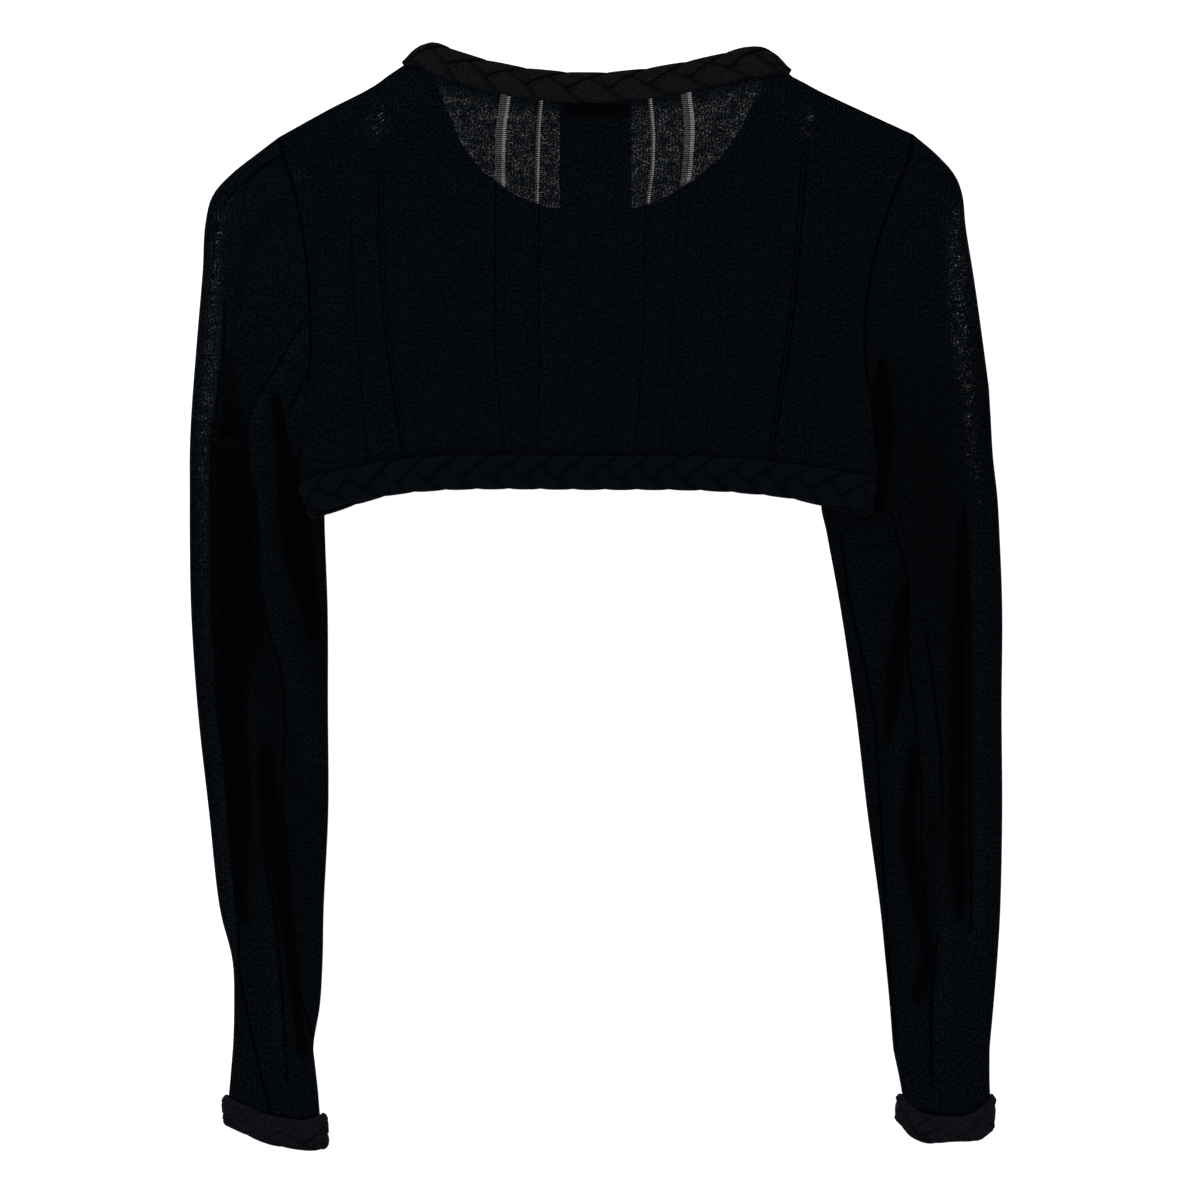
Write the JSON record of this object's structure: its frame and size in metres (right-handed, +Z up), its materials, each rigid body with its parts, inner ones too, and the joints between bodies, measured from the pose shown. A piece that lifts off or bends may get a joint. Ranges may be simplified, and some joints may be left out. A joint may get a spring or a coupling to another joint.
{
  "type": "knitted shrug",
  "caption": "Cropped long-sleeved knitted shrug with plaited neck, hem and cuff trims, laid flat with its back up.",
  "frame": {"origin": "centre of the bottom of the bounding box, on the surface that the garment lies on", "axes": "+Y from the cuffs towards the neck, +Z up out of the surface, +X to the right as the back is looked at"},
  "size_m": [0.4872, 0.6629, 0.0123],
  "materials": {
    "body_knit": "fine black knit, slightly open, with ladder stripes",
    "sleeve_knit": "fine black knit, slightly open, with ladder stripes",
    "plaited_trim": "folded black knit strips, plaited in three",
    "label_satin": "plain black woven satin"
  },
  "bodies": {
    "root": {"back_panel": "body_knit", "front_panel": "body_knit", "sleeve_left": "sleeve_knit", "sleeve_right": "sleeve_knit", "neck_braid_back": "plaited_trim", "neck_braid_front": "plaited_trim", "hem_braid_back": "plaited_trim", "hem_braid_front": "plaited_trim", "cuff_braid_left": "plaited_trim", "cuff_braid_right": "plaited_trim", "label": "label_satin"}
  },
  "joints": []
}
